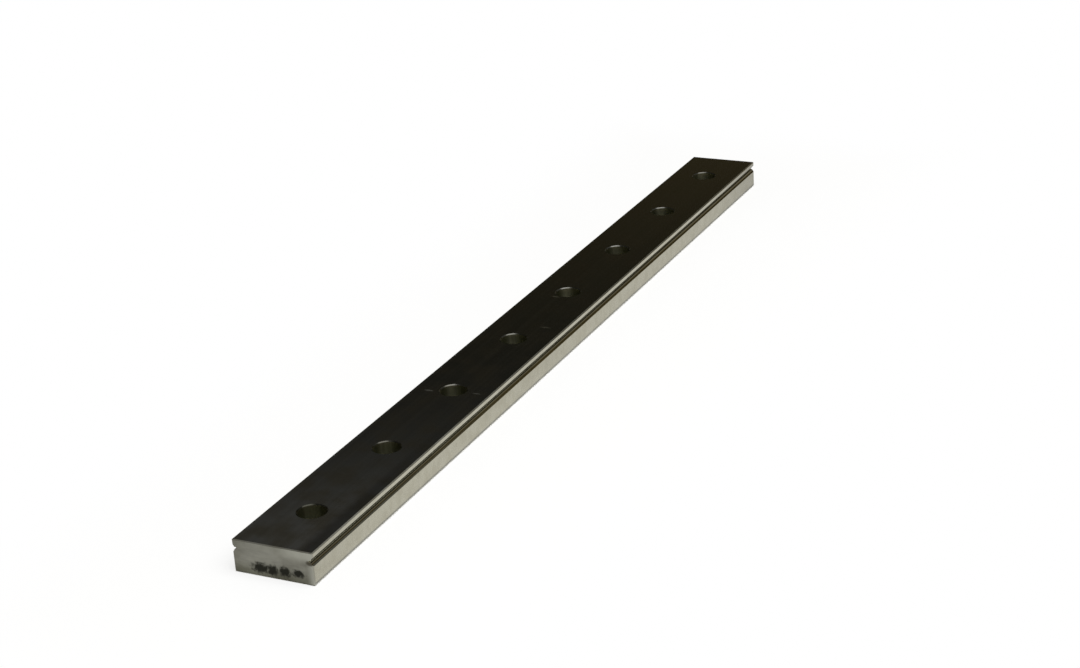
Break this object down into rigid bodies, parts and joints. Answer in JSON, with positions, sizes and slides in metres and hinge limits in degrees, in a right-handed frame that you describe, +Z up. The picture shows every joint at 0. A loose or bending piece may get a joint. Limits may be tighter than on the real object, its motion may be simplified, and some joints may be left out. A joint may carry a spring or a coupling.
{
  "type": "miniature linear guide rail",
  "caption": "Flat steel guide rail with a ball raceway groove along each flank and a row of counterbored screw holes in its top, on which a small carriage slides.",
  "frame": {"origin": "middle of the base, on the mounting plane", "axes": "+X along the rail, +Y across it, +Z up from the base to the top face"},
  "size_m": [0.24, 0.018, 0.007],
  "materials": {
    "rail_steel": "ground and hardened"
  },
  "bodies": {
    "root": {"guide_rail": "rail_steel"}
  },
  "joints": []
}
